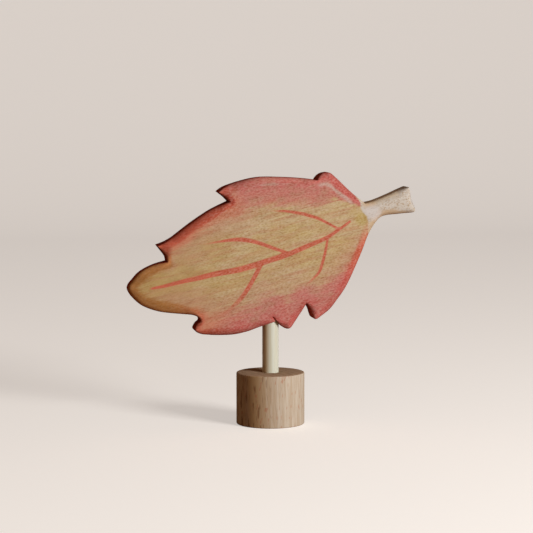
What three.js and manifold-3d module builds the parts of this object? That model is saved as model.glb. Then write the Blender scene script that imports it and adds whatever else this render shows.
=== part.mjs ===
// A wooden leaf on a round peg, plugged into a small round base block.
// Millimetres, +Z up. The origin is the middle of the base's underside, the peg's axis is Z,
// and the leaf's flat faces look along -Y (front) and +Y (back).
import * as THREE from 'three';
import { mergeVertices } from 'three/addons/utils/BufferGeometryUtils.js';
import Module from 'manifold-3d';

// Base block
const baseDiameter = 25;
const baseHeight = 19;
const baseEdge = 0.4; // sanded corner round the top and the underside
const socketDepth = 14;

// Peg
const pegDiameter = 6;
const pegShows = 20.9; // from the base's top up to the notch in the leaf's lower edge
const pegInLeaf = 14.5; // depth of the leaf's bore above that notch
const pegChamfer = 0.5;
const fitClearance = 0.1; // on the radius, in the socket and in the bore
const endGap = 0.3; // left under the peg and over it
const holeRadius = pegDiameter / 2 + fitClearance; // of the base's socket and the leaf's bore

// Leaf, sawn with its stem from one board
const leafSpan = 105.6; // from the leaf's tip to the end of its stem
const leafRise = 59; // from the lowest lobe to the highest
const leafThickness = 9;
const freeBevel = 2.8; // sanded along the leaf's free edges, as wide as it is deep
const stemBevel = 2.2; // along the stem
const notchBevel = 0.5; // and what the sanding reaches inside the saw's notches
const bevelFlatness = 0.15; // 0 is a round corner, 1 is a flat bevel
const bevelGrowth = 0.45; // how fast the bevel widens with the distance from there
const tipShare = 0.8; // share of the widest bevel that a narrow tip could take

// How finely round shapes are faceted
const outlineStep = 2;
const bevelSteps = 3;
const turnSteps = 32;

// The leaf's outline, in hundredths of its span and of its rise, measured from the leaf's
// tip and from its lowest lobe, clockwise as the front is seen. Each stretch is a smooth curve
// from its first point to the next stretch's, and those corners are teeth or saw notches.
const pegNotch = [49.5, 11.3]; // the notch that the peg comes out of
const outline = [
  {
    piece: 'tip',
    notch: true,
    points: [
      [24.1, 11.6], [21.9, 13], [17.9, 13.6], [10.6, 15.3], [5.1, 18.8], [1.8, 23.4], [0, 28],
      [0, 31.5], [1.5, 35.2], [4.1, 39.9], [8.4, 43.9],
    ],
  },
  { piece: 'first tooth, wall', notch: true, points: [[13.2, 46], [12.8, 48.8], [11.5, 52.1]] },
  { piece: 'first tooth, back', points: [[9.9, 55.8], [14, 59.4], [21.6, 69.5], [28.6, 77.6]] },
  { piece: 'second tooth, wall', notch: true, points: [[34.7, 82.3], [33, 85.3]] },
  {
    piece: 'top edge',
    points: [[30.9, 88.3], [33.2, 91.4], [38.1, 94.6], [45.3, 97.2], [54.5, 97], [60.5, 96.3]],
  },
  {
    piece: 'top lobe',
    notch: true,
    points: [[65.2, 95.2], [66, 97.6], [67.6, 99.5], [70, 99.6], [72.8, 95.6], [76.9, 88.6]],
  },
  {
    piece: 'stem, top',
    notch: true,
    points: [[82.2, 80.5], [84.8, 81.6], [87.3, 83.2], [90.6, 85.6], [94.2, 88.4]],
  },
  { piece: 'stem, end', points: [[97.6, 90.5], [98.1, 88], [98.8, 84], [99.5, 80], [100, 77.2]] },
  {
    piece: 'stem, underside, and right side',
    points: [
      [99.9, 75.5], [98.9, 74.6], [94.5, 73.8], [88.9, 72.6], [86.2, 68.7], [83.8, 61.4], [81.2, 49.4],
      [76.4, 30.5], [72.5, 20.1], [69.5, 13.8],
    ],
  },
  { piece: 'right lobe, wall', points: [[65.4, 9.2], [64.3, 9.3], [63.4, 12.4], [62.8, 15.6], [62.1, 17.6]] },
  {
    piece: 'middle lobe',
    notch: true,
    points: [
      [61.5, 19.2], [60.2, 14.3], [58.9, 10.3], [57.5, 6.7], [56.1, 3.9], [54.9, 3.3], [53.5, 4.2],
      [51.9, 6.7],
    ],
  },
  { piece: 'peg notch, side', notch: true, points: [pegNotch, [50.1, 9.8]] },
  {
    piece: 'lower lobe',
    notch: true,
    points: [
      [50.5, 8.2], [47.9, 6.3], [44.4, 3.9], [40.9, 1.8], [36.2, 0.2], [30.5, 0], [25.9, 0.7],
      [23.9, 1.8], [22.8, 3.1], [22.6, 4.6], [23.3, 7.3], [24.5, 9.2],
    ],
  },
];
const stemRoot = 84.5; // where the stem leaves the leaf, in hundredths of the span
const stemFade = 4; // length over which the bevel changes there

const wasm = await Module();
wasm.setup();

// A closed three.js geometry as a solid for the boolean cut.
function toSolid(geometry) {
  const bare = geometry.clone();
  bare.deleteAttribute('normal');
  bare.deleteAttribute('uv');
  const welded = mergeVertices(bare);
  return new wasm.Manifold(new wasm.Mesh({
    numProp: 3,
    vertProperties: new Float32Array(welded.attributes.position.array),
    triVerts: new Uint32Array(welded.index.array),
  }));
}

function toGeometry(solid) {
  const mesh = solid.getMesh();
  const geometry = new THREE.BufferGeometry();
  geometry.setAttribute('position', new THREE.BufferAttribute(new Float32Array(mesh.vertProperties), 3));
  geometry.setIndex(new THREE.BufferAttribute(new Uint32Array(mesh.triVerts), 1));
  geometry.computeVertexNormals();
  return geometry;
}

// A turned piece about Z from its profile of [radius, height] pairs.
function turned(profile) {
  const points = profile.map(([radius, height]) => new THREE.Vector2(radius, height));
  return new THREE.LatheGeometry(points, turnSteps).rotateX(Math.PI / 2);
}

// The leaf's own plane: x along the span from the peg's axis, y up from the peg's notch.
function onLeaf([alongSpan, upRise]) {
  return new THREE.Vector2(
    (alongSpan - pegNotch[0]) * leafSpan / 100,
    (upRise - pegNotch[1]) * leafRise / 100,
  );
}

// Stations round the outline, each with its place and the widest that its bevel may be.
function walkOutline() {
  const root = onLeaf([stemRoot, 0]).x;
  const stations = [];
  outline.forEach(({ notch, points }, stretch) => {
    const nextCorner = outline[(stretch + 1) % outline.length].points[0];
    const curve = new THREE.SplineCurve([...points, nextCorner].map(onLeaf));
    const count = Math.max(3, Math.round(curve.getLength() / outlineStep));
    curve.getSpacedPoints(count).slice(0, -1).forEach((place, index) => {
      const onStem = THREE.MathUtils.smoothstep(place.x, root - stemFade / 2, root + stemFade / 2);
      const free = THREE.MathUtils.lerp(freeBevel, stemBevel, onStem);
      stations.push({ place, widest: notch && index === 0 ? notchBevel : free });
    });
  });
  return stations.reverse(); // counter-clockwise, so that inward is on the left
}

function inwardNormal(stations, index) {
  const before = stations.at(index - 1).place;
  const after = stations[(index + 1) % stations.length].place;
  const along = after.clone().sub(before).normalize();
  return new THREE.Vector2(-along.y, along.x);
}

// Radius of the largest circle that touches the edge at a station and fits inside the outline.
function roomInside(stations, station) {
  let radius = Infinity;
  for (const other of stations) {
    const reach = other.place.clone().sub(station.place);
    const inwards = reach.dot(station.inward);
    if (inwards > 0) radius = Math.min(radius, reach.lengthSq() / (2 * inwards));
  }
  return radius;
}

// The bevel is full along free edges, slight in the saw's notches and small on narrow tips,
// and it grows steadily with the distance from those.
function setBevel(stations) {
  stations.forEach((station, index) => {
    station.inward = inwardNormal(stations, index);
  });
  for (const station of stations) {
    station.widest = Math.min(station.widest, tipShare * roomInside(stations, station));
  }
  for (const station of stations) {
    const limits = stations.map((other) => (
      other.widest + bevelGrowth * other.place.distanceTo(station.place)
    ));
    station.bevel = Math.min(...limits);
  }
}

// The leaf as rings of points from the front face, over the edge, to the back face.
function leafBlank() {
  const stations = walkOutline();
  setBevel(stations);
  const half = leafThickness / 2;
  const rings = [];
  for (const side of [-1, 1]) {
    for (let step = 0; step <= bevelSteps; step += 1) {
      const share = side < 0 ? 1 - step / bevelSteps : step / bevelSteps;
      const angle = share * Math.PI / 2;
      const inwards = THREE.MathUtils.lerp(1 - Math.cos(angle), share, bevelFlatness);
      const drop = THREE.MathUtils.lerp(1 - Math.sin(angle), 1 - share, bevelFlatness);
      rings.push(stations.map(({ place, inward, bevel }) => {
        const inset = place.clone().addScaledVector(inward, bevel * inwards);
        return new THREE.Vector3(inset.x, side * (half - bevel * drop), inset.y);
      }));
    }
  }

  const count = stations.length;
  const faces = [];
  for (let ring = 0; ring + 1 < rings.length; ring += 1) {
    for (let index = 0; index < count; index += 1) {
      const here = ring * count + index;
      const next = ring * count + (index + 1) % count;
      faces.push(here, here + count, next, next, here + count, next + count);
    }
  }
  const flat = (ring) => ring.map((point) => new THREE.Vector2(point.x, point.z));
  const lastRing = (rings.length - 1) * count;
  for (const [a, b, c] of THREE.ShapeUtils.triangulateShape(flat(rings[0]), [])) faces.push(a, b, c);
  for (const [a, b, c] of THREE.ShapeUtils.triangulateShape(flat(rings.at(-1)), [])) {
    faces.push(lastRing + a, lastRing + c, lastRing + b);
  }
  const geometry = new THREE.BufferGeometry().setFromPoints(rings.flat());
  geometry.setIndex(faces);
  return geometry;
}

function makeLeaf() {
  const drillBelow = leafRise; // the drill comes from below the leaf's lowest lobe
  const drill = turned([
    [0, -drillBelow],
    [holeRadius, -drillBelow],
    [holeRadius, pegInLeaf],
    [0, pegInLeaf],
  ]);
  const material = new THREE.MeshStandardMaterial({ color: 0xc98a63, roughness: 0.7, metalness: 0 });
  const leaf = new THREE.Mesh(toGeometry(toSolid(leafBlank()).subtract(toSolid(drill))), material);
  leaf.name = 'leaf';
  leaf.position.z = baseHeight + pegShows;
  return leaf;
}

function makePeg() {
  const radius = pegDiameter / 2;
  const foot = baseHeight - socketDepth + endGap;
  const head = baseHeight + pegShows + pegInLeaf - endGap;
  const profile = [
    [0, foot],
    [radius - pegChamfer, foot],
    [radius, foot + pegChamfer],
    [radius, head - pegChamfer],
    [radius - pegChamfer, head],
    [0, head],
  ];
  const material = new THREE.MeshStandardMaterial({ color: 0xd3ceb8, roughness: 0.6, metalness: 0 });
  const peg = new THREE.Mesh(turned(profile), material);
  peg.name = 'peg';
  return peg;
}

function makeBase() {
  const radius = baseDiameter / 2;
  const profile = [
    [0, 0],
    [radius - baseEdge, 0],
    [radius, baseEdge],
    [radius, baseHeight - baseEdge],
    [radius - baseEdge, baseHeight],
    [holeRadius, baseHeight],
    [holeRadius, baseHeight - socketDepth],
    [0, baseHeight - socketDepth],
  ];
  const material = new THREE.MeshStandardMaterial({ color: 0xb99b7a, roughness: 0.65, metalness: 0 });
  const base = new THREE.Mesh(turned(profile), material);
  base.name = 'base';
  return base;
}

const leafOrnament = new THREE.Group();
leafOrnament.add(makeBase(), makePeg(), makeLeaf());

export default leafOrnament;
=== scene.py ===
import math

import bpy
import numpy as np
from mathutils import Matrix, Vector
from mathutils.geometry import delaunay_2d_cdt


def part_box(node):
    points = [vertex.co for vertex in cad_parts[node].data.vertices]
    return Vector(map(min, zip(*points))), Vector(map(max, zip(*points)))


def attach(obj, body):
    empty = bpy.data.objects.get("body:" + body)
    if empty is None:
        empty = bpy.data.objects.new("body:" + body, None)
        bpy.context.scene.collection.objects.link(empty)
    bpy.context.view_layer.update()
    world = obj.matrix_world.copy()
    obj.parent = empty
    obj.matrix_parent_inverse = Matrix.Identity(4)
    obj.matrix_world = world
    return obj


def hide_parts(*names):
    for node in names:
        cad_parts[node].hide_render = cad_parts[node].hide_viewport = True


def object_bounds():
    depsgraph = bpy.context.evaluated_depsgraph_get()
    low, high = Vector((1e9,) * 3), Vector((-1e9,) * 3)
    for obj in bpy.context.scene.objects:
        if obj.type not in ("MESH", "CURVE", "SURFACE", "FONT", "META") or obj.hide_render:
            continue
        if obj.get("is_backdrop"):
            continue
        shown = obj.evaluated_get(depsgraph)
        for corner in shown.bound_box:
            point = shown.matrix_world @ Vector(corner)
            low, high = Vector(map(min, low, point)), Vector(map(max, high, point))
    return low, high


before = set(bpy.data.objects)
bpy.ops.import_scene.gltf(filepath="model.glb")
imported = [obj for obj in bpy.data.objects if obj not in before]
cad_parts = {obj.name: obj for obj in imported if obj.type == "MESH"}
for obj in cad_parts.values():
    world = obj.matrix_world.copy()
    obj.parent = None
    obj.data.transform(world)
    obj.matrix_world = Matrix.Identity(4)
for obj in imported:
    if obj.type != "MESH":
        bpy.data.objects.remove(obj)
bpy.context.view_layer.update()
mm = 0.001
print("frame loaded:", ", ".join(sorted(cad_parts)))

# Camera, as the photograph sees the ornament
shot = {
    "frame": 533,  # the photograph is this many pixels square
    "focal": 1890,  # in the same pixels
    "azimuth": -10.0,  # degrees from the leaf's front, towards its tip
    "elevation": 5.2,
    "sensor": 36.0,
    "baseTop": (270.4, 371.8),  # where the middle of the base's top shows
    "baseWidth": 68.07,  # how wide the base shows, in pixels
}


def directionTo(azimuth, elevation):
    # in degrees, from the leaf's front towards its stem and from the table upwards
    turn, tilt = math.radians(azimuth), math.radians(elevation)
    return Vector((math.sin(turn) * math.cos(tilt), -math.cos(turn) * math.cos(tilt), math.sin(tilt)))


def placeCamera(s):
    low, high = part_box("base")
    turn = math.radians(s["azimuth"])
    back = directionTo(s["azimuth"], s["elevation"])
    right = Vector((math.cos(turn), math.sin(turn), 0))
    up = back.cross(right)
    perPixel = (high.x - low.x) / s["baseWidth"]
    across = (s["baseTop"][0] - s["frame"] / 2) * perPixel
    down = (s["baseTop"][1] - s["frame"] / 2) * perPixel
    data = bpy.data.cameras.new("photoCamera")
    data.sensor_width = s["sensor"]
    data.lens = s["sensor"] * s["focal"] / s["frame"]
    camera = bpy.data.objects.new("photoCamera", data)
    bpy.context.scene.collection.objects.link(camera)
    camera.location = Vector((0, 0, high.z)) + back * s["focal"] * perPixel - right * across + up * down
    camera.rotation_euler = back.to_track_quat("Z", "Y").to_euler()
    bpy.context.scene.camera = camera


placeCamera(shot)
print("camera placed")


# Small helpers for building node trees
def addNode(tree, kind, inputs=None, **settings):
    node = tree.nodes.new(kind)
    for name, value in settings.items():
        setattr(node, name, value)
    for key, value in (inputs or {}).items():
        if isinstance(value, bpy.types.NodeSocket):
            tree.links.new(value, node.inputs[key])
        else:
            node.inputs[key].default_value = value
    return node


def addMath(tree, operation, a, b=0.0, clamp=False):
    return addNode(tree, "ShaderNodeMath", {0: a, 1: b}, operation=operation, use_clamp=clamp).outputs[0]


def times(tree, a, b):
    return addMath(tree, "MULTIPLY", a, b)


def addUp(tree, parts, clamp=False):
    total = parts[0]
    for part in parts[1:]:
        total = addMath(tree, "ADD", total, part, clamp)
    return total


def vectorMath(tree, operation, a, b=(0, 0, 0)):
    return addNode(tree, "ShaderNodeVectorMath", {0: a, 1: b}, operation=operation).outputs


def scaled(tree, vector, factors):
    return vectorMath(tree, "MULTIPLY", vector, factors)[0]


def component(tree, axis, vector):
    return addNode(tree, "ShaderNodeSeparateXYZ", {0: vector}).outputs[axis]


def softStep(tree, value, start, end, low=0.0, high=1.0):
    # low at the start and before it, high at the end and past it, smooth between
    inputs = {"Value": value, "From Min": start, "From Max": end, "To Min": low, "To Max": high}
    return addNode(tree, "ShaderNodeMapRange", inputs, interpolation_type="SMOOTHSTEP").outputs[0]


def show(tree, value, effect, noises=None):
    # how strongly an effect shows: from low to its share over its range, after each noise that
    # sway names has moved the value by up to about the amount given for it
    if "sway" in effect:
        moves = [
            times(tree, addMath(tree, "ADD", noises[name], -0.5), 4 * amount)
            for name, amount in effect["sway"].items()
        ]
        value = addMath(tree, "ADD", value, addUp(tree, moves))
    return softStep(tree, value, *effect["range"], effect.get("low", 0.0), effect.get("share", 1.0))


def mixColour(tree, factor, a, b, blend="MIX"):
    a, b = [colour if isinstance(colour, bpy.types.NodeSocket) else (*colour, 1) for colour in (a, b)]
    inputs = {0: factor, 6: a, 7: b}
    return addNode(tree, "ShaderNodeMix", inputs, data_type="RGBA", blend_type=blend).outputs[2]


def noise(tree, vector, scale, detail=2.0, roughness=0.5, distortion=0.0):
    inputs = {"Vector": vector, "Scale": scale, "Detail": detail, "Roughness": roughness}
    return addNode(tree, "ShaderNodeTexNoise", {**inputs, "Distortion": distortion}).outputs["Fac"]


def newMaterial(name, roughness, specular):
    material = bpy.data.materials.new(name)
    material.use_nodes = True
    shader = material.node_tree.nodes["Principled BSDF"]
    shader.inputs["Roughness"].default_value = roughness
    shader.inputs["Specular IOR Level"].default_value = specular
    return material, material.node_tree, shader


# Wood, shared by the base, the peg and the leaf: streaks, short pores and fine fibres
grainSettings = {
    "inputs": {"Streak Width": 1.0, "Streak Length": 25.0, "Pore Width": 0.25, "Pore Length": 2.5,
               "Pore Share": 0.3},
    "fibreWidth": 0.6,  # shares of the pores' width and the streaks' length
    "fibreLength": 0.35,
    "streakNoise": {"detail": 4.0, "roughness": 0.6, "distortion": 0.4},
    "poreNoise": {"detail": 1.0, "roughness": 0.4},
    "fibreNoise": {"detail": 3.0, "roughness": 0.65},
    "streaks": {"range": (0.28, 0.72)},
    "poreEdge": {"range": (0.0, 1.0), "low": 0.78, "share": 0.42},  # over the pore share
    "poreSoftness": 0.07,
}


def makeWoodGrain(s):
    # Grain Space is in millimetres with Z along the grain
    group = bpy.data.node_groups.new("woodGrain", "ShaderNodeTree")
    group.interface.new_socket("Grain Space", in_out="INPUT", socket_type="NodeSocketVector")
    for label, value in s["inputs"].items():
        group.interface.new_socket(label, in_out="INPUT", socket_type="NodeSocketFloat").default_value = value
    for label in ("Streaks", "Pores", "Fibres"):
        group.interface.new_socket(label, in_out="OUTPUT", socket_type="NodeSocketFloat")
    given, result = group.nodes.new("NodeGroupInput").outputs, group.nodes.new("NodeGroupOutput").inputs

    def stretched(width, length, **settings):
        across = addMath(group, "DIVIDE", 1.0, width)
        along = addMath(group, "DIVIDE", 1.0, length)
        factors = addNode(group, "ShaderNodeCombineXYZ", {"X": across, "Y": across, "Z": along}).outputs[0]
        return noise(group, scaled(group, given["Grain Space"], factors), 1.0, **settings)

    fibreWidth = times(group, given["Pore Width"], s["fibreWidth"])
    fibreLength = times(group, given["Streak Length"], s["fibreLength"])
    streaks = stretched(given["Streak Width"], given["Streak Length"], **s["streakNoise"])
    pores = stretched(given["Pore Width"], given["Pore Length"], **s["poreNoise"])
    fibres = stretched(fibreWidth, fibreLength, **s["fibreNoise"])
    poreEdge = show(group, given["Pore Share"], s["poreEdge"])
    poreDeep = addMath(group, "ADD", poreEdge, s["poreSoftness"])
    group.links.new(show(group, streaks, s["streaks"]), result["Streaks"])
    group.links.new(softStep(group, pores, poreEdge, poreDeep), result["Pores"])
    group.links.new(fibres, result["Fibres"])
    return group


woodGrain = makeWoodGrain(grainSettings)


def placeGrain(tree, space, sizes):
    outputs = addNode(tree, "ShaderNodeGroup", {"Grain Space": space, **sizes}, node_tree=woodGrain).outputs
    return {name.lower(): outputs[name] for name in ("Streaks", "Pores", "Fibres")}


def grainSpace(tree, turnDegrees=0.0, shift=(0, 0, 0)):
    # object coordinates in millimetres, turned about Y so that Z runs along the grain
    place = addNode(tree, "ShaderNodeTexCoord").outputs["Object"]
    inMillimetres = addNode(tree, "ShaderNodeVectorMath", {0: place, "Scale": 1 / mm}, operation="SCALE")
    moved = vectorMath(tree, "ADD", inMillimetres.outputs[0], shift)[0]
    turn = {"Vector": moved, "Axis": (0, 1, 0), "Angle": math.radians(turnDegrees)}
    return addNode(tree, "ShaderNodeVectorRotate", turn, rotation_type="AXIS_ANGLE").outputs[0]


def finishSurface(tree, shader, s, colour, noises, grit):
    # colour, a roughness that grows with the grit, and the relief of the grain
    rough = addMath(tree, "ADD", times(tree, grit, s["gritRough"]), s["roughness"] - s["polish"])
    height = addUp(tree, [times(tree, noises[name], share) for name, share in s["relief"].items()])
    bump = addNode(tree, "ShaderNodeBump", {"Height": height, **s["bump"]})
    tree.links.new(colour, shader.inputs["Base Color"])
    tree.links.new(rough, shader.inputs["Roughness"])
    tree.links.new(bump.outputs[0], shader.inputs["Normal"])


def finishMesh(piece, body, node, material, sharpDegrees):
    mesh = piece.data
    mesh.materials.append(material)
    mesh.polygons.foreach_set("use_smooth", [True] * len(mesh.polygons))
    mesh.set_sharp_from_angle(angle=math.radians(sharpDegrees))
    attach(piece, body)
    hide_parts(node)


def meshPiece(name, points, faces):
    mesh = bpy.data.meshes.new(name)
    mesh.from_pydata([tuple(p) for p in points], [], faces)
    mesh.update()
    piece = bpy.data.objects.new(name, mesh)
    bpy.context.scene.collection.objects.link(piece)
    return piece


def softCorner(corner, before, after, radius, steps):
    # the arc that rounds a square corner of a turned profile
    toBefore = (Vector(before) - Vector(corner)).normalized() * radius
    toAfter = (Vector(after) - Vector(corner)).normalized() * radius
    arc = []
    for step in range(steps + 1):
        angle = step / steps * math.pi / 2
        arc.append(Vector(corner) + toBefore * (1 - math.sin(angle)) + toAfter * (1 - math.cos(angle)))
    return [tuple(p) for p in arc]


def roundedSide(body, edge, steps):
    # a turned body's profile from the middle of its foot, up its side and just onto its top
    low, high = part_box(body)
    radius, foot, head = high.x, low.z, high.z
    profile = [(0, foot)]
    profile += softCorner((radius, foot), (0, foot), (radius, head), edge, steps)
    profile += softCorner((radius, head), (radius, foot), (0, head), edge, steps)
    return profile


def turnedPiece(name, profile, sides):
    # spins a profile of (radius, height) points, in metres, that starts and ends on the axis
    points, faces = [(0, 0, profile[0][1])], []
    rings = profile[1:-1]
    for radius, height in rings:
        for side in range(sides):
            angle = 2 * math.pi * side / sides
            points.append((radius * math.cos(angle), radius * math.sin(angle), height))
    points.append((0, 0, profile[-1][1]))
    top = len(points) - 1
    last = 1 + (len(rings) - 1) * sides
    for side in range(sides):
        following = (side + 1) % sides
        faces.append((0, 1 + following, 1 + side))
        for ring in range(len(rings) - 1):
            here, above = 1 + ring * sides, 1 + (ring + 1) * sides
            faces.append((here + side, here + following, above + following, above + side))
        faces.append((last + side, last + following, top))
    return meshPiece(name, points, faces)


# Base block, turned beech with the socket down its middle. The ranges of its painted shade, a
# browner side, and of its painted light, a paler far left, are in millimetres across the block, in the
# shifted grain space.
baseSettings = {
    "sides": 160,
    "edge": 0.45 * mm,  # sanded corners
    "edgeSteps": 5,
    "socketMouth": 0.25 * mm,
    "mouthSteps": 3,
    "socketRadius": 3.1 * mm,
    "socketDepth": 14 * mm,
    "sharpAngle": 50,
    "wood": (0.60, 0.54, 0.445),
    "dark": (0.40, 0.27, 0.155),
    "pore": (0.21, 0.095, 0.04),
    "fleck": (0.42, 0.16, 0.09),
    "endWood": (0.52, 0.375, 0.26),
    "brown": (0.42, 0.26, 0.115),
    "pale": (0.62, 0.58, 0.50),
    "grainTurn": 2.0,
    "grainShift": (3, 7, 0),
    "grain": {"Streak Width": 0.9, "Streak Length": 22.0, "Pore Width": 0.66, "Pore Length": 5.2,
              "Pore Share": 0.54},
    "fleckTurn": -7.0,
    "fleckShift": (37, 2, 9),
    "flecks": {"Pore Width": 0.8, "Pore Length": 3.2, "Pore Share": 0.4},
    "darkStreaks": {"range": (0.1, 0.9), "share": 0.42},
    "darkFibres": {"range": (0.35, 0.7), "share": 0.3},
    "shadeSideBrown": {"range": (4.5, -5.0)},  # painted shade: the wood browner towards the block's shaded left
    "shadeSideShare": 0.9,
    "paintedLightFarLeft": {"range": (-5.5, -8.5), "share": 0.85},  # painted light: paler again at its far left, within the shade
    "poreShare": {"range": (0.0, 1.0), "low": 0.06, "share": 0.65},  # over the painted-shade side, where the dark pores mostly show
    "fleckShare": 0.55,
    "endLevel": {"range": (0.75, 0.95)},  # how level a face is where the end grain begins
    "ringCentre": (38, 9, 0),
    "rings": {"Scale": 0.12, "Distortion": 1.2, "Detail": 2.0},
    "ringShare": 0.5,
    "speckScale": 4.5,
    "darkRings": {"range": (0.45, 1.15), "share": 0.5},
    "roughness": 0.55,
    "polish": 0.08,
    "gritRough": 0.2,
    "specular": 0.0,
    "relief": {"fibres": 1.0, "pores": -0.8},
    "bump": {"Distance": 0.06 * mm, "Strength": 0.5},
}


def makeBase(s):
    radius, _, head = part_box("base")[1]
    floor, socket = head - s["socketDepth"], s["socketRadius"]
    profile = roundedSide("base", s["edge"], s["edgeSteps"])
    profile += softCorner((socket, head), (radius, head), (socket, floor), s["socketMouth"], s["mouthSteps"])
    profile += [(socket, floor), (0, floor)]
    return turnedPiece("baseBlock", profile, s["sides"])


def endGrain(tree, s, space):
    # how far a face is end grain, on the top and the underside, and its darker, ringed colour
    upright = component(tree, "Z", addNode(tree, "ShaderNodeNewGeometry").outputs["Normal"])
    level = show(tree, addMath(tree, "ABSOLUTE", upright), s["endLevel"])
    ringSpace = scaled(tree, vectorMath(tree, "ADD", space, s["ringCentre"])[0], (1, 1, 0))
    wave = addNode(
        tree, "ShaderNodeTexWave", {"Vector": ringSpace, **s["rings"]}, wave_type="RINGS", rings_direction="Z"
    ).outputs["Fac"]
    ringed = addMath(tree, "ADD", times(tree, wave, s["ringShare"]), noise(tree, space, s["speckScale"]))
    return level, mixColour(tree, show(tree, ringed, s["darkRings"]), s["endWood"], s["dark"])


def beechMaterial(s):
    material, tree, shader = newMaterial("turnedBeech", s["roughness"], s["specular"])
    space = grainSpace(tree, s["grainTurn"], s["grainShift"])
    grain = placeGrain(tree, space, s["grain"])
    flecks = placeGrain(tree, grainSpace(tree, s["fleckTurn"], s["fleckShift"]), s["flecks"])
    colour = mixColour(tree, show(tree, grain["streaks"], s["darkStreaks"]), s["wood"], s["dark"])
    colour = mixColour(tree, show(tree, grain["fibres"], s["darkFibres"]), colour, s["dark"])
    across = component(tree, "X", space)
    # painted shade, browner on the shaded left, then painted light, paler at its far left
    shadeSideMask = show(tree, across, s["shadeSideBrown"])
    colour = mixColour(tree, times(tree, shadeSideMask, s["shadeSideShare"]), colour, s["brown"])
    colour = mixColour(tree, show(tree, across, s["paintedLightFarLeft"]), colour, s["pale"])
    poreShare = show(tree, shadeSideMask, s["poreShare"])
    colour = mixColour(tree, times(tree, grain["pores"], poreShare), colour, s["pore"])
    colour = mixColour(tree, times(tree, flecks["pores"], s["fleckShare"]), colour, s["fleck"])
    level, endColour = endGrain(tree, s, space)
    colour = mixColour(tree, level, colour, endColour)
    finishSurface(tree, shader, s, colour, grain, grain["fibres"])
    return material


base = makeBase(baseSettings)
finishMesh(base, "base", "base", beechMaterial(baseSettings), baseSettings["sharpAngle"])
print("base turned")

# Peg, a pale dowel
pegSettings = {
    "sides": 96,
    "edge": 0.5 * mm,
    "edgeSteps": 4,
    "sharpAngle": 50,
    "wood": (0.64, 0.67, 0.58),
    "straw": (0.54, 0.47, 0.28),
    "brown": (0.55, 0.385, 0.19),
    "grainTurn": 0.6,
    "grainShift": (1.3, 5, 0),
    "grain": {"Streak Width": 0.9, "Streak Length": 60.0, "Pore Width": 0.16, "Pore Length": 3.5,
              "Pore Share": 0.18},
    "strawStreaks": {"range": (0.0, 1.0), "share": 0.42},
    "poreShare": 0.35,
    "shadeSideBrown": {"range": (-0.5, -2.3), "share": 0.8},  # millimetres across, browner to the left as painted shade
    "roughness": 0.42,
    "polish": 0.1,
    "gritRough": 0.22,
    "specular": 0.25,
    "relief": {"fibres": 1.0, "pores": -1.0},
    "bump": {"Distance": 0.03 * mm, "Strength": 0.4},
}


def makePeg(s):
    profile = roundedSide("peg", s["edge"], s["edgeSteps"])
    profile += [(0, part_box("peg")[1].z)]
    return turnedPiece("pegDowel", profile, s["sides"])


def dowelMaterial(s):
    material, tree, shader = newMaterial("paleDowel", s["roughness"], s["specular"])
    grain = placeGrain(tree, grainSpace(tree, s["grainTurn"], s["grainShift"]), s["grain"])
    colour = mixColour(tree, show(tree, grain["streaks"], s["strawStreaks"]), s["wood"], s["straw"])
    colour = mixColour(tree, times(tree, grain["pores"], s["poreShare"]), colour, s["straw"])
    # painted shade: browner on the dowel's shaded left
    across = component(tree, "X", grainSpace(tree))
    colour = mixColour(tree, show(tree, across, s["shadeSideBrown"]), colour, s["brown"])
    finishSurface(tree, shader, s, colour, grain, grain["fibres"])
    return material


peg = makePeg(pegSettings)
finishMesh(peg, "peg", "peg", dowelMaterial(pegSettings), pegSettings["sharpAngle"])
print("peg cut")

# Leaf, one sawn board with its stem
leafSettings = {
    "span": 105.6,  # millimetres from the leaf's tip to the end of its stem
    "rise": 59.0,  # and from the lowest lobe to the highest
    "pegShows": 20.9,  # from the base's top to the notch that the peg comes out of
    "pegNotch": (49.5, 11.3),  # in hundredths of the span and of the rise, as the outline
    "stemRoot": 84.5,  # in hundredths of the span
    "stemFade": 4.0,
    "spacing": 0.5,  # millimetres between points along the outline
    "freeBevel": 2.8,  # along the free edges, as wide as it is deep
    "stemBevel": 2.2,
    "notchBevel": 0.5,
    "bevelFlatness": 0.15,  # 0 is a round corner, 1 a flat bevel
    "bevelSteps": 8,
    "bevelGrowth": 0.45,  # in each millimetre away from a notch
    "tipShare": 0.8,  # of the widest round that fits into a point of the outline
    "wallRings": (1 / 3, 2 / 3),  # how far from the front's bevel to the back's
    "grid": 0.8,  # millimetres between points on the flat faces
    "gridRow": 0.866,  # between their rows, in shares of the grid
    "gridGap": 0.45,  # kept free round the outline and the strokes, in shares of the grid
    "strokeSpacing": 0.6,
    "mergeLimit": 1e-5,
    "boreRadius": 3.1,
    "boreDepth": 14.5,  # above the notch that the peg comes out of
    "boreSides": 96,
    "drillBelow": 30,  # how far the drill reaches below that notch
    "sharpAngle": 40,
    "grain": 14.0,  # degrees that the grain rises towards the stem
}
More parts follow.
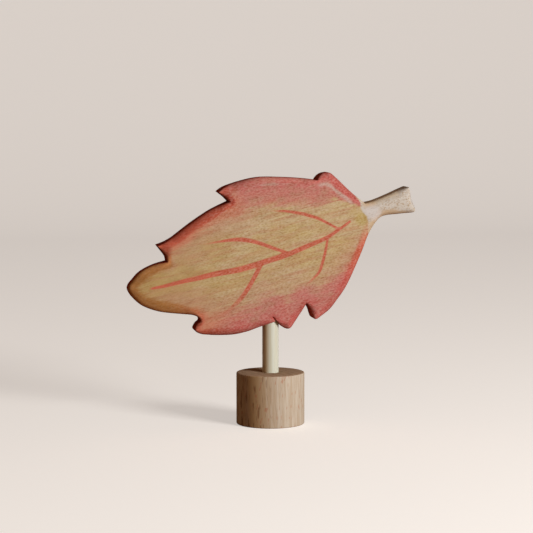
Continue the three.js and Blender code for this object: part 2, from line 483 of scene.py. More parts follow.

# The outline in hundredths of the span and of the rise, from the tip and the lowest lobe. Each
# stretch is a smooth curve from its first point to the next stretch's, and a notch narrows the
# bevel at that first point. Wash is how deep the painted border runs, in millimetres, fade the
# length in which it then thins out, haze how far a faint tint reaches and band how full the
# paint is on the bevel. Deep, where it is given, is how far that paint goes at least. Tone is
# its colour: 0 brown, 0.5 brick red, 1 rose, 1.3 pale rose, and on the outer part of the bevel
# each turns paler, which is painted light against the bevel's shade. On the bare stem it is the
# rim's colour: up to 0.6 brown, 1 pale, which is painted light along the stem's top, from 1.25
# greyer, which is painted shade on the end facet that faces the key light. The values of each
# are spread evenly over the stretch.
leafOutline = [
    {"notch": True,  # tip
     "wash": [0.6, 1.4, 2.2, 1.6, 1.2, 1.4, 1.0], "fade": [5, 4.5, 4.5, 5.5, 5, 4, 2.5],
     "haze": [17, 15, 10, 5, 5, 5, 4], "band": [0.5, 0.8, 0.9, 0.9, 0.85, 0.8, 0.7],
     "deep": [2, 3.8, 3.9, 3, 2.8, 2.8, 1.2],
     "tone": [0.25, 0.12, 0.03, 0, 0.03, 0.08, 0.12],
     "points": [(24.1, 11.6), (21.9, 13), (17.9, 13.6), (10.6, 15.3), (5.1, 18.8), (1.8, 23.4),
                (0, 28), (0, 31.5), (1.5, 35.2), (4.1, 39.9), (8.4, 43.9)]},
    {"notch": True,  # first tooth, wall
     "wash": [0.4, 0.8, 2.4], "fade": [2, 2.5, 2.5], "haze": [6, 7, 7], "band": [0.7, 0.8, 1],
     "deep": [0.6, 0.9, 2.2], "tone": [0.08, 0.15, 0.45],
     "points": [(13.2, 46), (12.8, 48.8), (11.5, 52.1)]},
    {  # first tooth, back
     "wash": [2.2, 2.4, 2.6, 3.2], "fade": [4, 4.2, 4.5, 5], "haze": [13, 16, 18, 19], "band": [1],
     "deep": [2.6, 2.6, 2.4, 1.6], "tone": [0.5],
     "points": [(9.9, 55.8), (14, 59.4), (21.6, 69.5), (28.6, 77.6)]},
    {"notch": True,  # second tooth, wall
     "wash": [3.4, 6], "fade": [5], "haze": [18, 17], "band": [1, 0.9], "deep": [1.9, 1.8],
     "tone": [0.5, 0.6],
     "points": [(34.7, 82.3), (33, 85.3)]},
    {  # top edge
     "wash": [6, 7, 7.4, 7.2, 6.4], "fade": [5, 6, 6.5, 6.2, 5], "haze": [17, 17, 16, 15, 14],
     "band": [0.8, 0.6, 0.5, 0.5, 0.5], "tone": [0.7, 1.1, 1.3, 1.3, 1.3],
     "points": [(30.9, 88.3), (33.2, 91.4), (38.1, 94.6), (45.3, 97.2), (54.5, 97), (60.5, 96.3)]},
    {"notch": True,  # top lobe
     "wash": [6.4, 5.8, 4.4, 2.6, 0.8], "fade": [4.6, 4.2, 3.4, 2.5, 1], "haze": [13, 11, 9, 6, 2],
     "band": [0.6, 0.9, 1, 1, 0.9], "tone": [1, 1, 1.07, 1.04, 0.8],
     "points": [(65.2, 95.2), (66, 97.6), (67.6, 99.5), (70, 99.6), (72.8, 95.6), (76.9, 88.6)]},
    {"notch": True,  # stem, top
     "wash": [1.5, 0.3], "fade": [1], "haze": [2, 1], "band": [0.8, 0], "tone": [0.95, 1],
     "points": [(82.2, 80.5), (84.8, 81.6), (87.3, 83.2), (90.6, 85.6), (94.2, 88.4)]},
    {  # stem, end
     "wash": [0.3], "fade": [1], "haze": [1], "band": [0], "tone": [1.8, 2, 2, 2, 1.4],
     "points": [(97.6, 90.5), (98.1, 88), (98.8, 84), (99.5, 80), (100, 77.2)]},
    {  # stem, underside, and right side
     "wash": [0.3, 0.3, 0.3, 0.4, 1.2, 1.5, 2.4, 4, 5.8, 7.5],
     "fade": [1, 1, 1, 1, 2.5, 3.6, 5.5, 7, 7, 7], "haze": [1, 1, 1, 3, 9, 15, 19, 22, 22, 20],
     "band": [0, 0, 0, 0.2, 0.9, 1, 1, 0.9, 0.85, 0.8], "deep": [0, 2.4, 3.4, 2.9, 2.3, 0, 0, 0, 0, 0],
     "tone": [0.6, 0.3, 0.28, 0.3, 0.4, 0.6, 0.85, 1, 1, 1],
     "points": [(99.9, 75.5), (98.9, 74.6), (94.5, 73.8), (88.9, 72.6), (86.2, 68.7), (83.8, 61.4),
                (81.2, 49.4), (76.4, 30.5), (72.5, 20.1), (69.5, 13.8)]},
    {  # right lobe, wall
     "wash": [7.5, 4], "fade": [6], "haze": [16, 18], "band": [0.7], "tone": [0.95],
     "points": [(65.4, 9.2), (64.3, 9.3), (63.4, 12.4), (62.8, 15.6), (62.1, 17.6)]},
    {"notch": True,  # middle lobe
     "wash": [3, 4.5, 4.5], "fade": [6, 6.5, 7], "haze": [20, 21, 22], "band": [1, 0.9],
     "deep": [1.5, 2.5, 1], "tone": [1, 0.95],
     "points": [(61.5, 19.2), (60.2, 14.3), (58.9, 10.3), (57.5, 6.7), (56.1, 3.9), (54.9, 3.3),
                (53.5, 4.2), (51.9, 6.7)]},
    {"notch": True,  # peg notch, side
     "wash": [3.5], "fade": [8], "haze": [24], "band": [0.9], "tone": [0.95],
     "points": [(49.5, 11.3), (50.1, 9.8)]},
    {"notch": True,  # lower lobe
     "wash": [4, 4.5, 4.5, 2.5, 1], "fade": [8, 9, 9, 8, 5], "haze": [24, 25, 25, 20, 15],
     "band": [0.8, 0.8, 0.85, 0.95, 0.7], "tone": [0.95, 0.95, 0.85, 0.6, 0.35],
     "points": [(50.5, 8.2), (47.9, 6.3), (44.4, 3.9), (40.9, 1.8), (36.2, 0.2), (30.5, 0),
                (25.9, 0.7), (23.9, 1.8), (22.8, 3.1), (22.6, 4.6), (23.3, 7.3), (24.5, 9.2)]},
]

# Painted strokes and worn ones, as (span, rise, half width in millimetres). Ends are the
# millimetres over which the stroke fades out at its start and at its end.
leafVeins = [
    {"ends": (1.2, 0.6), "points": [  # midrib
        (7.0, 29.8, 0.38), (12.2, 31.5, 0.6), (17.5, 33.7, 0.72), (23.7, 36.0, 0.9), (30.1, 38.5, 1.0),
        (38.4, 41, 1.05), (46.2, 45, 1.0), (54.2, 49.4, 0.95), (61.2, 54.3, 0.85),
        (68.5, 59.8, 0.7), (72.8, 64.7, 0.55), (77.1, 70.1, 0.42)]},
    {"ends": (0.2, 9.0), "points": [  # upper left
        (55.6, 50.2, 0.5), (50.4, 53.3, 0.6), (44.1, 57.3, 0.7), (38.2, 59.3, 0.75),
        (31.5, 58.3, 0.42), (24.6, 56.3, 0.25)]},
    {"ends": (0.2, 5.0), "points": [  # upper right
        (72.9, 64.8, 0.4), (67, 70.4, 0.5), (65.3, 71.8, 0.55), (61.2, 74.1, 0.6),
        (58.4, 75.2, 0.55), (53.4, 76.5, 0.42), (48.9, 76.5, 0.25)]},
    {"ends": (0.2, 15.0), "points": [  # lower left
        (45.7, 44.8, 0.8), (43.7, 37.7, 0.78), (41.2, 29.8, 0.8), (38.4, 22.8, 0.78),
        (34.7, 16.6, 0.65), (30.8, 11.6, 0.35)]},
    {"ends": (0.2, 7.0), "points": [  # lower right
        (68.9, 60.2, 0.42), (68.1, 51.9, 0.5), (67.1, 44.8, 0.55), (65.7, 38.2, 0.5),
        (62.2, 31.9, 0.32), (60.6, 29.8, 0.2)]},
]
leafWear = [
    {"ends": (1.0, 4.0), "points": [  # inside the top lobe's rounded edge
        (65.3, 91.6, 0.3), (68.2, 92.8, 0.65), (70.2, 90.8, 0.45), (72, 88.2, 0.35), (75, 84.4, 0.55),
        (78.9, 78.2, 0.35)]},
    {"ends": (5.0, 5.0), "points": [(41.8, 91.7, 0.05), (48.4, 93, 0.15), (57.1, 92.7, 0.05)]},
]
# Where the paint ends, crossing the root of the stem
paintEnd = [(78, 88), (80.2, 81.3), (80.3, 78.5), (81.0, 75.6), (82.7, 72.5), (83.3, 68.9), (83, 65.3),
            (83.2, 61.9), (86, 56)]


def onLeaf(point):
    # from hundredths of the leaf to millimetres in its plane
    s = leafSettings
    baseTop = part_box("base")[1].z / mm
    across = (point[0] - s["pegNotch"][0]) * s["span"] / 100
    up = baseTop + s["pegShows"] + (point[1] - s["pegNotch"][1]) * s["rise"] / 100
    return (across, up, *point[2:])


def smoothCurve(points, spacing, fineSteps=40, fewest=3):
    # even steps along the curve through the points, with how far along each step is
    points = np.array(points, float)
    before = np.vstack([points[:1], points[:-1]])[:-1]
    after = np.vstack([points[1:], points[-1:]])[1:]
    share = np.linspace(0, 1, fineSteps, endpoint=False)[:, None]
    dense = []
    for p0, p1, p2, p3 in zip(before, points[:-1], points[1:], after):
        leave, arrive = (p2 - p0) / 2, (p3 - p1) / 2
        dense.append(p1 + leave * share + (3 * (p2 - p1) - 2 * leave - arrive) * share**2
                     + (2 * (p1 - p2) + leave + arrive) * share**3)
    dense = np.vstack([*dense, points[-1:]])
    length = np.concatenate([[0], np.cumsum(np.hypot(*np.diff(dense[:, :2], axis=0).T))])
    count = max(fewest, round(length[-1] / spacing))
    along = np.linspace(0, length[-1], count + 1)
    return np.column_stack([np.interp(along, length, column) for column in dense.T]), along / length[-1]


def smoothShare(value, start, end):
    t = np.clip((value - start) / (end - start), 0, 1)
    return t * t * (3 - 2 * t)


def walkOutline(s):
    # stations round the outline, counter-clockwise as the front is seen
    painted = ("wash", "fade", "haze", "band", "tone", "deep")
    root = onLeaf((s["stemRoot"], 0))[0]
    rows = []
    for index, stretch in enumerate(leafOutline):
        following = leafOutline[(index + 1) % len(leafOutline)]["points"][0]
        places, share = smoothCurve([onLeaf(p) for p in [*stretch["points"], following]], s["spacing"])
        onStem = smoothShare(places[:, 0], root - s["stemFade"] / 2, root + s["stemFade"] / 2)
        widest = s["freeBevel"] + (s["stemBevel"] - s["freeBevel"]) * onStem
        if stretch.get("notch"):
            widest[0] = s["notchBevel"]
        knots = [stretch.get(name, [0]) for name in painted]
        spread = [np.interp(share, np.linspace(0, 1, len(values)), values) for values in knots]
        rows.append(np.column_stack([places, widest, *spread])[:-1])
    rows = np.vstack(rows)[::-1]
    place, widest = rows[:, :2], rows[:, 2]
    tangent = np.roll(place, -1, axis=0) - np.roll(place, 1, axis=0)
    tangent /= np.linalg.norm(tangent, axis=1)[:, None]
    inward = np.column_stack([-tangent[:, 1], tangent[:, 0]])

    # no bevel is wider than the circle that fits inside there, and it grows slowly from a notch
    reach = place[None] - place[:, None]
    depth = np.einsum("ijk,ik->ij", reach, inward)
    squared = (reach**2).sum(axis=2)
    tiny = 1e-6
    room = np.where(depth > tiny, squared / (2 * np.maximum(depth, tiny)), np.inf).min(axis=1)
    widest = np.minimum(widest, s["tipShare"] * room)
    bevel = (widest[None] + s["bevelGrowth"] * np.sqrt(squared)).min(axis=1)
    stations = {name: rows[:, 3 + column] for column, name in enumerate(painted)}
    stations["deep"] = np.maximum(bevel, stations["deep"])
    return {"place": place, "inward": inward, "bevel": bevel, **stations}


def insideOutline(points, ring):
    # which points lie inside the ring, by the crossings of a level line
    inside = np.zeros(len(points), bool)
    x, z = points[:, 0], points[:, 1]
    for (x0, z0), (x1, z1) in zip(ring, np.roll(ring, -1, axis=0)):
        if z0 != z1:
            inside ^= ((z0 > z) != (z1 > z)) & (x < (x1 - x0) * (z - z0) / (z1 - z0) + x0)
    return inside


def strokeLines(s):
    strokes = leafVeins + leafWear
    return [smoothCurve([onLeaf(p) for p in stroke["points"]], s["strokeSpacing"])[0] for stroke in strokes]


def fillFace(s, ring):
    # triangles inside the ring, with corners along the middle of every painted stroke
    low, high = ring.min(axis=0), ring.max(axis=0)
    step, rows = s["grid"], []
    for row, z in enumerate(np.arange(low[1], high[1], step * s["gridRow"])):
        x = np.arange(low[0] + (step / 2 if row % 2 else 0), high[0], step)
        rows.append(np.column_stack([x, np.full(len(x), z)]))
    grid = np.vstack(rows)
    lines = [line[:, :2] for line in strokeLines(s)]
    fixed = np.vstack([ring, *lines])
    gap = np.array([np.hypot(*(fixed - p).T).min() for p in grid])
    grid = grid[insideOutline(grid, ring) & (gap > s["gridGap"] * step)]
    points, edges = [*ring], []
    for line in lines:
        edges += [(len(points) + i, len(points) + i + 1) for i in range(len(line) - 1)]
        points += [*line]
    points += [*grid]
    outer = [list(range(len(ring)))]
    result = delaunay_2d_cdt([Vector(p) for p in points], edges, outer, 1, s["mergeLimit"])
    coords, faces, origins = np.array(result[0]), result[2], result[3]
    corner = {origin: index for index, found in enumerate(origins) for origin in found if origin < len(ring)}
    return coords, faces, [corner[i] for i in range(len(ring))]


def edgeRings(s, stations, half):
    # from the front face round the edge to the back face, each a ring of points and their depths
    place, inward, bevel = stations["place"], stations["inward"], stations["bevel"]
    flat = s["bevelFlatness"]
    rings = []
    for share in np.linspace(1, 0, s["bevelSteps"] + 1):
        angle = share * math.pi / 2
        inwards = (1 - flat) * (1 - math.cos(angle)) + flat * share
        down = (1 - flat) * (1 - math.sin(angle)) + flat * (1 - share)
        rings.append((place + inward * (bevel * inwards)[:, None], bevel * down - half))
    middle = rings[-1]
    wall = [(middle[0], middle[1] * (1 - 2 * share)) for share in s["wallRings"]]
    return rings + wall + [(inset, -level) for inset, level in reversed(rings)]


def drillBore(s, leaf):
    notch = onLeaf(s["pegNotch"])[1]
    foot, top, radius = notch - s["drillBelow"], notch + s["boreDepth"], s["boreRadius"]
    profile = [(0, foot), (radius, foot), (radius, top), (0, top)]
    drill = turnedPiece("boreDrill", [(r * mm, z * mm) for r, z in profile], s["boreSides"])
    cut = leaf.modifiers.new("bore", "BOOLEAN")
    cut.operation, cut.solver, cut.object = "DIFFERENCE", "EXACT", drill
    bpy.context.view_layer.update()
    drilled = bpy.data.meshes.new_from_object(leaf.evaluated_get(bpy.context.evaluated_depsgraph_get()))
    leaf.modifiers.clear()
    leaf.data = drilled
    bpy.data.objects.remove(drill)


def makeLeaf(s, stations):
    low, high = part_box("leaf")
    half = (high.y - low.y) / 2 / mm
    rings = edgeRings(s, stations, half)
    coords, faces, corners = fillFace(s, rings[0][0])
    count, flat = len(corners), len(coords)
    points = [(x, -half, z) for x, z in coords] + [(x, half, z) for x, z in coords]
    indices = [np.array(corners)]
    for inset, level in rings[1:-1]:
        indices.append(len(points) + np.arange(count))
        points += [(x, y, z) for (x, z), y in zip(inset, level)]
    indices.append(np.array(corners) + flat)
    faces = [tuple(f) for f in faces] + [tuple(flat + i for i in reversed(f)) for f in faces]
    for here, there in zip(indices, indices[1:]):
        for i in range(count):
            j = (i + 1) % count
            faces.append((here[i], there[i], there[j], here[j]))
    leaf = meshPiece("sawnLeaf", np.array(points) * mm, [tuple(map(int, f)) for f in faces])
    drillBore(s, leaf)
    return leaf


# How the paint's values are worked out at each corner of the leaf's mesh, in millimetres
paintReach = {
    "tone": 3,  # over which the outline's tone is averaged
    "band": 0.8,
    "outside": -9.0,  # the depth in a stroke that stands for far outside of it
    "startFade": 0.3,  # shares of a fade that lie past the stroke's own start and end
    "endFade": 0.15,
    "boreSlack": 0.02,
    "atOnce": 4000,  # corners worked out together
}


def strokeDepth(r, points, strokes, lines):
    # how deep a point lies inside the nearest stroke, and how strong the stroke is there
    depth, strength = np.full(len(points), r["outside"]), np.zeros(len(points))
    for stroke, line in zip(strokes, lines):
        start, along = line[:-1], np.diff(line, axis=0)
        length = np.hypot(along[:, 0], along[:, 1])
        passed = np.concatenate([[0], np.cumsum(length)])
        lead, tail = stroke["ends"]
        for i in range(len(start)):
            offset = points - start[i, :2]
            t = np.clip((offset @ along[i, :2]) / length[i] ** 2, 0, 1)
            away = np.hypot(*(offset - t[:, None] * along[i, :2]).T)
            here = start[i, 2] + t * along[i, 2] - away
            at = passed[i] + t * length[i]
            fading = smoothShare(at, -r["startFade"] * lead, lead)
            fading = fading * smoothShare(passed[-1] - at, -r["endFade"] * tail, tail)
            better = here > depth
            depth = np.where(better, here, depth)
            strength = np.where(better, fading, strength)
    return depth, strength


def average(weight, values):
    return (weight * values).sum(axis=1) / weight.sum(axis=1)


def borderValues(r, plane, stations):
    # how near the edge a point is, and what the outline's values are there
    edge, wash, haze, band, deep, tone = (np.zeros(len(plane)) for _ in range(6))
    for first in range(0, len(plane), r["atOnce"]):
        part = slice(first, first + r["atOnce"])
        away = np.linalg.norm(plane[part, None] - stations["place"][None], axis=2)
        edge[part] = away.min(axis=1)
        washEnd = stations["wash"] + stations["fade"]
        wash[part] = (1 - smoothShare(away, stations["wash"], washEnd)).max(axis=1)
        haze[part] = (1 - smoothShare(away, 0, stations["haze"])).max(axis=1)
        tone[part] = average(np.exp(-away / r["tone"]), stations["tone"])
        weight = np.exp(-(away - edge[part, None]) / r["band"])
        band[part] = average(weight, stations["band"])
        deep[part] = average(weight, stations["deep"])
    return {"edgeDistance": edge, "wash": wash, "haze": haze, "band": band, "bandDepth": deep - edge,
            "tone": tone}


def bareDistance(plane):
    # how far a point lies past the end of the paint, on the stem's side
    border = np.array([onLeaf(p) for p in paintEnd])
    bare, nearest = np.zeros(len(plane)), np.full(len(plane), np.inf)
    for start, end in zip(border, border[1:]):
        along, offset = end - start, plane - start
        t = np.clip(offset @ along / (along @ along), 0, 1)
        away = np.hypot(*(offset - t[:, None] * along).T)
        side = np.sign(along[0] * offset[:, 1] - along[1] * offset[:, 0])
        closer = away < nearest
        bare[closer], nearest[closer] = (side * away)[closer], away[closer]
    return bare


def paintLeaf(s, r, leaf, stations):
    # the values that the paint is mixed from, as attributes of the mesh
    mesh = leaf.data
    coords = np.empty(len(mesh.vertices) * 3)
    mesh.vertices.foreach_get("co", coords)
    coords = coords.reshape(-1, 3) / mm
    plane = coords[:, [0, 2]]
    lines = strokeLines(s)
    veinDepth, veinStrength = strokeDepth(r, plane, leafVeins, lines[: len(leafVeins)])
    wearDepth, wearStrength = strokeDepth(r, plane, leafWear, lines[len(leafVeins):])
    radius = s["boreRadius"] + r["boreSlack"]
    top = onLeaf(s["pegNotch"])[1] + s["boreDepth"] + r["boreSlack"]
    bore = (np.hypot(coords[:, 0], coords[:, 1]) < radius) & (coords[:, 2] < top)
    values = {**borderValues(r, plane, stations), "veinDepth": veinDepth, "veinStrength": veinStrength,
              "wearDepth": wearDepth, "wearStrength": wearStrength, "bareDistance": bareDistance(plane),
              "bore": bore}
    for name, numbers in values.items():
        mesh.attributes.new(name, "FLOAT", "POINT").data.foreach_set("value", numbers.astype(np.float32))
    return list(values)


paintColours = {
    "ochre": (0.535, 0.405, 0.18),
    "straw": (0.575, 0.455, 0.275),
    "paleYellow": (0.595, 0.475, 0.245),
    "tipOchre": (0.49, 0.34, 0.135),
    "peach": (0.55, 0.325, 0.22),
    "orange": (0.57, 0.36, 0.19),
    "olive": (0.52, 0.42, 0.14),
    "tipWash": (0.40, 0.212, 0.07),
    "brickWash": (0.60, 0.25, 0.155),
    "roseWash": (0.58, 0.215, 0.188),
    "tipBrown": (0.41, 0.185, 0.055),
    # painted light: this, the pale brick and the pale rose are for the outer part of the bevel
    "paintedLightBrown": (0.71, 0.34, 0.12),
    "brick": (0.54, 0.105, 0.062),
    "paintedLightBrick": (0.61, 0.12, 0.075),
    # painted shade in the notches
    "notchShadeBrick": (0.33, 0.055, 0.035),
    "rose": (0.53, 0.112, 0.098),
    "paintedLightRose": (0.84, 0.29, 0.24),
    "wallRed": (0.48, 0.068, 0.045),
    "vein": (0.60, 0.155, 0.095),
    "wood": (0.63, 0.60, 0.535),
    "stemWood": (0.645, 0.63, 0.58),
    "woodTan": (0.42, 0.315, 0.205),
    # painted light along the top of the stem's rim
    "paintedLightWoodRim": (0.80, 0.70, 0.53),
    "woodBrown": (0.58, 0.42, 0.25),
    # painted shade on the stem's end facet, which faces the key light
    "paintedShadeWoodEnd": (0.50, 0.485, 0.475),
    # painted highlight on the pale wood by the stem's root
    "rootHighlight": (0.65, 0.63, 0.615),
    "grainTint": (0.56, 0.42, 0.32),
}
paintFinish = {
    "grain": {"Streak Width": 1.1, "Streak Length": 17.0, "Pore Width": 0.5, "Pore Length": 3.2,
              "Pore Share": 0.4},
    "noises": {  # squeeze along the grain, scale per millimetre, detail, roughness
        "mottle": (0.4, 0.6, 3.0, 0.6),
        "stipple": (0.5, 2.0, 1.0, 0.6),
        "blotch": (0.5, 0.14, 2.0, 0.55),
        "patch": (0.4, 0.42, 3.0, 0.6),
        "hair": (0.08, 1.7, 2.0, 0.6),
    },
    "poreDarkness": 0.24,
    "roughness": 0.6,
    "polish": 0.14,
    "gritRough": 0.12,
    "specular": 0.0,
    "relief": {"fibres": 0.6, "stipple": 0.35, "pores": -0.8},
    "bump": {"Distance": 0.08 * mm, "Strength": 0.5},
}
# Each effect goes by the noise or the mesh's value that it is on. It begins and is full where
# its range says, and sway is how far, more or less, each noise moves that border.
paintEffects = {
    # the bare stem
    "stemDots": {"on": "stipple", "range": (0.48, 0.66), "share": 0.95},
    "stemMottle": {"on": "mottle", "range": (0.45, 0.75), "share": 0.4},
    # the stem's rim: browner along the underside, paler along the top as painted light, greyer at the end as
    # painted shade
    "stemRimWithPaintedLight": {"on": "bandDepth", "range": (0.3, 1.9), "share": 0.85, "sway": {"mottle": 0.5}},
    "paintedLightRim": {"on": "tone", "range": (0.6, 1.0)},
    "paintedShadeEnd": {"on": "tone", "range": (1.05, 1.25)},
    # the yellow of the middle, with fewer streaks and flecks towards the tip
    "straw": {"on": "blotch", "range": (0.35, 0.65), "sway": {"mottle": 0.08}},
    "toTip": {"on": "along", "range": (-12 * mm, -38 * mm), "sway": {"blotch": 6 * mm}},
    "orangeStreaks": {"on": "streaks", "range": (0.35, 0.8), "share": 0.62},
    "paleStreaks": {"on": "streaks", "range": (0.5, 0.15), "share": 0.5},
    "plain": {"on": "toTip", "range": (0.0, 1.0), "low": 1.0, "share": 0.35},
    # the colours of the border
    "brick": {"on": "tone", "range": (0.05, 0.45)},
    "rose": {"on": "tone", "range": (0.5, 0.95)},
    # painted light: a paler rose on the outer part of the bevel
    "paintedLightRose": {"on": "tone", "range": (1.0, 1.25)},
    "fullRose": {"on": "patch", "range": (0.44, 0.68), "share": 0.6},
    "peachPatches": {"on": "patch", "range": (0.5, 0.3), "share": 0.45},
    # painted light: paler colours on the outer part of the bevel, against its shade
    "paintedLightEdge": {"on": "edgeDistance", "range": (2.4, 0.7)},
    # and how much of them there is
    "haze": {"on": "haze", "range": (0.05, 0.85), "share": 0.62, "sway": {"mottle": 0.10}},
    "wash": {"on": "wash", "range": (0.05, 0.95),
             "sway": {"streaks": 0.12, "mottle": 0.12, "hair": 0.14, "blotch": 0.08}},
    "nearEdge": {"on": "edgeDistance", "range": (10.0, 2.0), "low": 0.72, "sway": {"blotch": 1.5}},
    "bevel": {"on": "bandDepth", "range": (-0.8, 0.5), "share": 0.85,
              "sway": {"mottle": 0.25, "blotch": 0.25}},
    "wall": {"on": "edgeDistance", "range": (0.2, 0.03), "share": 0.9},
    "paintedWall": {"on": "band", "range": (0.1, 0.6)},
    "vein": {"on": "veinDepth", "range": (-0.16, 0.16), "sway": {"stipple": 0.1}},
    "unevenVein": {"on": "mottle", "range": (0.2, 0.5), "low": 0.8},
    "wear": {"on": "wearDepth", "range": (-0.55, 0.4), "share": 0.5, "sway": {"mottle": 0.35}},
    "bare": {"on": "bareDistance", "range": (-0.35, 0.45), "sway": {"mottle": 0.3}},
    # the grain over all of it
    "flecks": {"on": "stipple", "range": (0.4, 0.8), "share": 0.24},
    "darkStipple": {"on": "stipple", "range": (0.56, 0.22), "share": 0.5},
    "darkPatches": {"on": "patch", "range": (0.62, 0.32), "share": 0.21},
    "darkStreaks": {"on": "streaks", "range": (0.4, 0.95), "share": 0.14},
    "darkFibres": {"on": "fibres", "range": (0.45, 0.75), "share": 0.2},
    "grainOnBare": {"on": "bare", "range": (0.0, 1.0), "low": 1.0, "share": 0.65},
}
# Single spots: where, half width and half height in millimetres, softness and strength
paintSpots = {
    "tan": {"at": (83.4, 80.6), "size": (2.4, 1.6), "soft": 0.5, "share": 0.8},
    # painted highlight on the pale wood by the stem's root
    "white": {"at": (84.7, 75.0), "size": (3.2, 2.6), "soft": 0.45, "share": 0.9},
    "olive": {"at": (81, 71.5), "size": (2.6, 2.6), "soft": 0.5, "share": 0.7},
    # painted shade in the notches by the first and the second tooth
    "firstNotchShade": {"at": (12.4, 53), "size": (2.2, 3.0), "soft": 0.5, "share": 0.7},
    "secondNotchShade": {"at": (35.4, 82.8), "size": (1.0, 1.3), "soft": 0.5, "share": 0.75},
    "secondToothShade": {"at": (33.4, 85.8), "size": (1.9, 2.2), "soft": 0.5, "share": 0.5},
}
spotSway = {"mottle": 0.25}


class PaintMix:
    # the leaf's node tree, and the values there that its paint is mixed from by name
    def __init__(self, tree, values):
        self.tree = tree
        self.values = values

    def amount(self, effect):
        # from an effect's name, or else it is a socket that holds the amount already
        if not isinstance(effect, str):
            return effect
        effect = paintEffects[effect]
        return show(self.tree, self.values[effect["on"]], effect, self.values)

    def both(self, a, b):
        return times(self.tree, self.amount(a), self.amount(b))

    def mix(self, share, under, over, blend="MIX"):
        under, over = [paintColours[c] if isinstance(c, str) else c for c in (under, over)]
        return mixColour(self.tree, self.amount(share), under, over, blend)

    def spot(self, name):
        s = paintSpots[name]
        x, z = onLeaf(s["at"])
        wide, high = s["size"]
        offset = vectorMath(self.tree, "ADD", self.values["place"], (-x * mm, 0, -z * mm))[0]
        shrunk = scaled(self.tree, offset, (1 / (wide * mm), 0, 1 / (high * mm)))
        away = vectorMath(self.tree, "LENGTH", shrunk)["Value"]
        effect = {"range": (1 + s["soft"], 1 - s["soft"]), "share": s["share"], "sway": spotSway}
        return show(self.tree, away, effect, self.values)


def paintValues(tree, s, f, painted):
    # noises along the grain, the mesh's own values, and places on the leaf
    space = grainSpace(tree, s["grain"] - 90)
    values = placeGrain(tree, space, f["grain"])
    for name, (squeeze, scale, detail, roughness) in f["noises"].items():
        values[name] = noise(tree, scaled(tree, space, (1, 1, squeeze)), scale, detail, roughness)
    for name in painted:
        values[name] = addNode(tree, "ShaderNodeAttribute", attribute_name=name).outputs["Fac"]
    values["place"] = addNode(tree, "ShaderNodeTexCoord").outputs["Object"]
    values["along"] = component(tree, "X", values["place"])
    return values


def bareWood(p):
    # whiter where the stem leaves the leaf, as a painted highlight, and a rim: browner along the underside,
    # paler along the top as painted light, greyer at the end as painted shade
    tan = addMath(p.tree, "MAXIMUM", p.amount("stemMottle"), p.amount("stemDots"))
    wood = p.mix(tan, "stemWood", "woodTan")
    # the rim: paler as painted light along the top, greyer as painted shade at the end
    rim = p.mix("paintedShadeEnd", p.mix("paintedLightRim", "woodBrown", "paintedLightWoodRim"), "paintedShadeWoodEnd")
    wood = p.mix("stemRimWithPaintedLight", wood, rim)
    wood = p.mix(p.spot("tan"), wood, "woodBrown")
    # painted highlight by the stem's root
    return p.mix(p.spot("white"), wood, "rootHighlight")


def middlePaint(p):
    # yellow over the middle, browner towards the tip, in streaks along the grain
    yellow = p.mix("straw", "ochre", "straw")
    yellow = p.mix(p.values["toTip"], yellow, "tipOchre")
    yellow = p.mix("orangeStreaks", yellow, "orange")
    yellow = p.mix(p.both("paleStreaks", "plain"), yellow, "paleYellow")
    yellow = p.mix(p.spot("olive"), yellow, "olive")
    return p.mix("haze", yellow, "peach")


def borderPaint(p, middle):
    # a ragged wash, then the full band on the bevel, paler on its outer part as painted light, dark paint on
    # the walls and painted shade in the notches
    toBrick, toRose = p.amount("brick"), p.amount("rose")
    rosy = p.mix("peachPatches", p.mix("fullRose", "roseWash", "rose"), "peach")
    washColour = p.mix(toRose, p.mix(toBrick, "tipWash", "brickWash"), rosy)
    # painted light: paler colours on the outer part of the bevel
    edge = p.amount("paintedLightEdge")
    brown = p.mix(edge, "tipBrown", "paintedLightBrown")
    brick = p.mix(edge, "brick", "paintedLightBrick")
    rose = p.mix(p.both(edge, "paintedLightRose"), "rose", "paintedLightRose")
    bandColour = p.mix(toRose, p.mix(toBrick, brown, brick), rose)
    paint = p.mix(p.both("wash", "nearEdge"), middle, washColour)
    paint = p.mix(p.both("bevel", p.values["band"]), paint, bandColour)
    paint = p.mix(p.both("wall", "paintedWall"), paint, "wallRed")
    # painted shade spots in the notches
    for name in ("firstNotchShade", "secondNotchShade", "secondToothShade"):
        paint = p.mix(p.spot(name), paint, "notchShadeBrick")
    return paint


def drawStrokes(p, paint):
    # veins, thin paint drawn over the rest, and the worn lines
    vein = p.both(p.both("vein", p.values["veinStrength"]), "unevenVein")
    paint = p.mix(vein, paint, "vein")
    return p.mix(p.both("wear", p.values["wearStrength"]), paint, "wood")


def grainOver(p, f, colour):
    # pale flecks of bare grain, then the grain and the stipple darkening the paint
    colour = p.mix(p.both("flecks", "plain"), colour, "wood")
    dark = [times(p.tree, p.values["pores"], f["poreDarkness"]), p.both("darkStipple", "plain")]
    dark += [p.amount(name) for name in ("darkPatches", "darkStreaks", "darkFibres")]
    dark = p.both(addUp(p.tree, dark, clamp=True), "grainOnBare")
    return p.mix(dark, colour, "grainTint", "MULTIPLY")


def leafMaterial(s, f, painted):
    material, tree, shader = newMaterial("paintedLeaf", f["roughness"], f["specular"])
    p = PaintMix(tree, paintValues(tree, s, f, painted))
    p.values["toTip"] = p.amount("toTip")
    p.values["bare"] = addMath(tree, "MAXIMUM", p.amount("bare"), p.values["bore"])
    paint = drawStrokes(p, borderPaint(p, middlePaint(p)))
    colour = grainOver(p, f, p.mix(p.values["bare"], paint, bareWood(p)))
    grit = addMath(tree, "ADD", p.values["fibres"], p.values["mottle"])
    finishSurface(tree, shader, f, colour, p.values, grit)
    return material


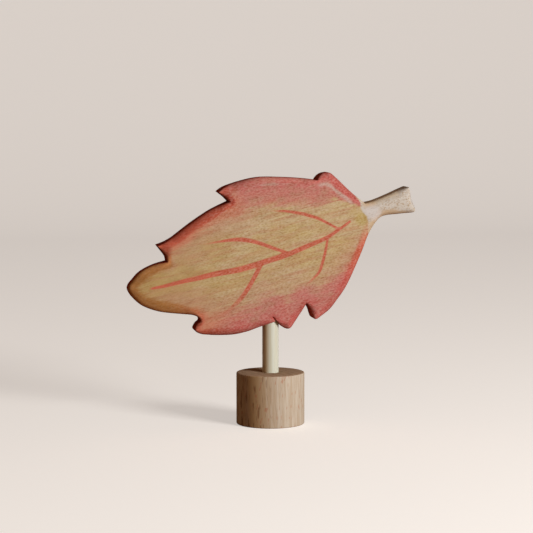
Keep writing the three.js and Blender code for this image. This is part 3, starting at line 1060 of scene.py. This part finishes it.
stations = walkOutline(leafSettings)
leaf = makeLeaf(leafSettings, stations)
painted = paintLeaf(leafSettings, paintReach, leaf, stations)
leafPaint = leafMaterial(leafSettings, paintFinish, painted)
finishMesh(leaf, "leaf", "leaf", leafPaint, leafSettings["sharpAngle"])
print("leaf sawn and painted,", len(leaf.data.polygons), "faces")

# Floor that sweeps up behind, soft key light from the front right, and a little warm fill
studioSettings = {
    "width": 6.0,
    "front": -3.0,
    "back": 0.9,
    "bend": 0.6,
    "height": 2.4,
    "bendSteps": 24,
    "paper": (0.80, 0.78, 0.75),
    "paperRoughness": 0.95,
    "bounce": (0.36, 0.18, 0.08),  # what the paper throws back on the ornament
    "glow": 0.62,  # that the camera sees on the paper, besides its light
    "sky": (0.70, 0.66, 0.62),
    "fill": (1.0, 0.56, 0.30),
    "fillStrength": 0.14,
    "keyAzimuth": 37.0,  # degrees from the leaf's front, towards its stem
    "keyElevation": 13.0,
    "keyDistance": 0.9,
    "keySize": 0.32,
    "keyWatts": 8.0,
    "keyColour": (1.0, 0.98, 0.96),
}


def seenDirectly(tree):
    # 1 for rays that show what they hit, 0 for those that only light it
    rays = addNode(tree, "ShaderNodeLightPath").outputs
    kinds = ("Is Camera Ray", "Is Glossy Ray", "Is Transmission Ray")
    return addUp(tree, [rays[kind] for kind in kinds], clamp=True)


def layPaper(s):
    profile = [(s["front"], 0.0), (s["back"], 0.0)]
    for step in range(1, s["bendSteps"] + 1):
        angle = step / s["bendSteps"] * math.pi / 2
        profile.append((s["back"] + s["bend"] * math.sin(angle), s["bend"] * (1 - math.cos(angle))))
    profile.append((s["back"] + s["bend"], s["height"]))
    points = [(side * s["width"] / 2, y, z) for y, z in profile for side in (-1, 1)]
    faces = [(2 * i, 2 * i + 1, 2 * i + 3, 2 * i + 2) for i in range(len(profile) - 1)]
    paper = meshPiece("paperSweep", points, faces)
    paper.data.polygons.foreach_set("use_smooth", [True] * len(faces))
    paper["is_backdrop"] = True
    material, tree, shader = newMaterial("palePaper", s["paperRoughness"], 0.0)
    shader.inputs["Emission Color"].default_value = (*s["paper"], 1)
    seen = seenDirectly(tree)
    tree.links.new(mixColour(tree, seen, s["bounce"], s["paper"]), shader.inputs["Base Color"])
    tree.links.new(times(tree, seen, s["glow"]), shader.inputs["Emission Strength"])
    paper.data.materials.append(material)


def fillAir(s):
    world = bpy.data.worlds.new("studioAir")
    bpy.context.scene.world = world
    world.use_nodes = True
    tree = world.node_tree
    background = tree.nodes["Background"]
    seen = seenDirectly(tree)
    tree.links.new(mixColour(tree, seen, s["fill"], s["sky"]), background.inputs["Color"])
    tree.links.new(softStep(tree, seen, 0.0, 1.0, s["fillStrength"], 1.0), background.inputs["Strength"])


def hangKey(s):
    lamp = bpy.data.lights.new("keyLight", "AREA")
    lamp.shape, lamp.size, lamp.energy, lamp.color = "SQUARE", s["keySize"], s["keyWatts"], s["keyColour"]
    key = bpy.data.objects.new("keyLight", lamp)
    bpy.context.scene.collection.objects.link(key)
    low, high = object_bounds()
    back = directionTo(s["keyAzimuth"], s["keyElevation"])
    key.location = (Vector(low) + Vector(high)) / 2 + back * s["keyDistance"]
    key.rotation_euler = back.to_track_quat("Z", "Y").to_euler()


layPaper(studioSettings)
fillAir(studioSettings)
hangKey(studioSettings)
bpy.context.scene.view_settings.view_transform = "Standard"
print("studio lit")
